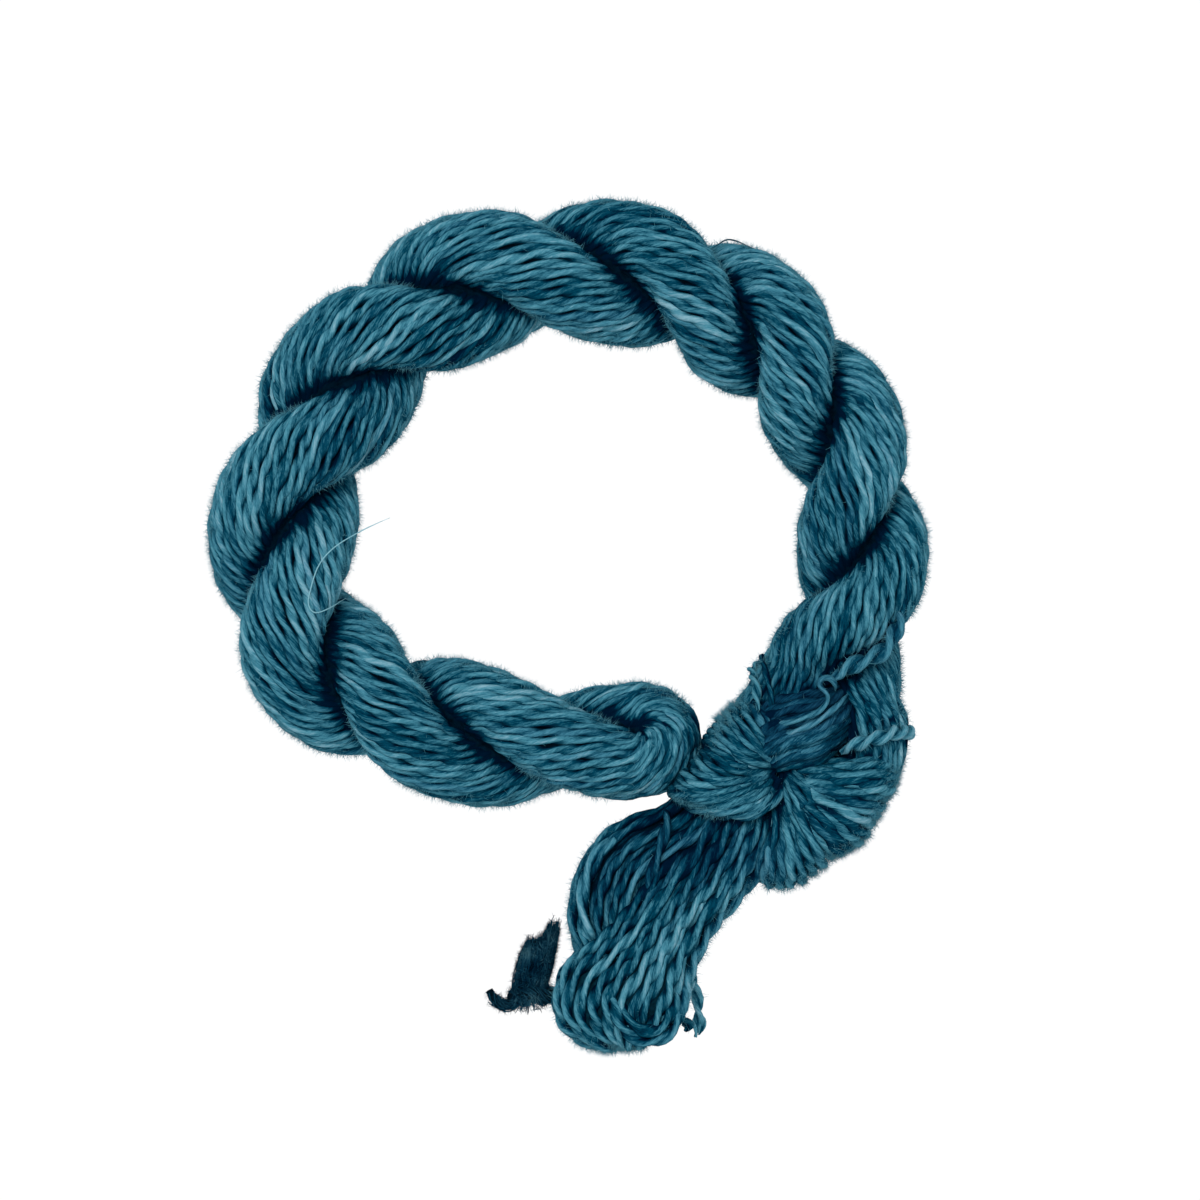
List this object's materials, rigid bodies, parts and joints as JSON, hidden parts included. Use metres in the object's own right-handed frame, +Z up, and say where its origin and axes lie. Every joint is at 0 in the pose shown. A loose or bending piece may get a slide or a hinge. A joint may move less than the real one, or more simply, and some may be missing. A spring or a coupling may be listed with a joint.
{
  "type": "skein of yarn",
  "caption": "Twisted hank of plied yarn folded into a two-strand rope, curled into a ring and closed with a loop knot, with a short tail and ties.",
  "frame": {"origin": "on the surface that the skein lies on, under the middle of its box", "axes": "+Z up from that surface, +Y from the tail towards the far side of the ring, +X towards the knot"},
  "size_m": [0.1302, 0.1538, 0.0233],
  "materials": {
    "yarn": "soft plied yarn with a silky sheen",
    "dark_yarn": "felted dull yarn"
  },
  "bodies": {
    "root": {"skein": "yarn", "choke_tie": "yarn", "loop_tie": "yarn", "yarn_end": "yarn", "end_tie": "dark_yarn"}
  },
  "joints": []
}
